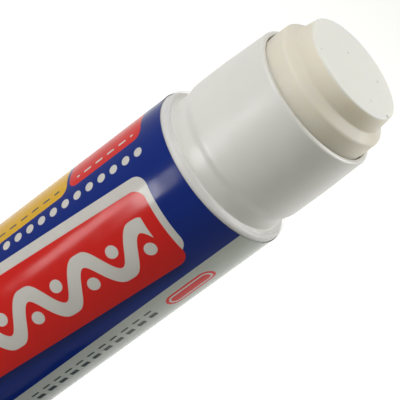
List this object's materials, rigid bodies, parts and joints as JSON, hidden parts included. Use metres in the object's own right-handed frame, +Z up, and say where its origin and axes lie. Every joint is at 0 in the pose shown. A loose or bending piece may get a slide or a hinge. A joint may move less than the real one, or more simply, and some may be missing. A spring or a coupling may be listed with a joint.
{
  "type": "glue stick",
  "caption": "Twist-up glue stick with a printed barrel, bare white neck, stepped glue tip, screw-driven carrier, fluted knob and push-on cap standing beside it.",
  "frame": {"origin": "centre of the knob's flat base, on the stick's axis", "axes": "+Z up along the stick's axis towards the glue, +X towards the cap that stands beside the stick"},
  "size_m": [0.0649, 0.027, 0.0978],
  "materials": {
    "white_moulding": "satin white polypropylene with a faint sheen",
    "printed_film": "glossy printed film, deep blue with red and yellow panels, clear at its top margin",
    "glue": "waxy, slightly translucent off-white glue",
    "carrier_moulding": "natural white polypropylene",
    "spindle_moulding": "natural white polypropylene",
    "blue_moulding": "glossy deep blue polypropylene"
  },
  "bodies": {
    "barrel_body": {"barrel": "white_moulding", "label_sleeve": "printed_film"},
    "screw_body": {"spindle": "spindle_moulding", "knob": "blue_moulding"},
    "glue_body": {"carrier": "carrier_moulding", "glue": "glue"},
    "cap_body": {"cap": "blue_moulding"}
  },
  "joints": [
    {"name": "knob_turn", "type": "hinge", "parent": "barrel_body", "child": "screw_body", "pos_m": [0, 0, 0], "axis": [0, 0, 1], "range_deg": [-540.5, 3600.5]},
    {"name": "carrier_rise", "type": "slide", "parent": "barrel_body", "child": "glue_body", "axis": [0, 0, 1], "range_m": [-0.0075, 0.05]},
    {"name": "cap_lift", "type": "slide", "parent": "barrel_body", "child": "cap_body", "axis": [0, 0, 1], "range_m": [0, 0.04]}
  ],
  "couplings": [
    {"joint": "knob_turn", "follows": "carrier_rise", "rad_per_m": 1256.6}
  ]
}
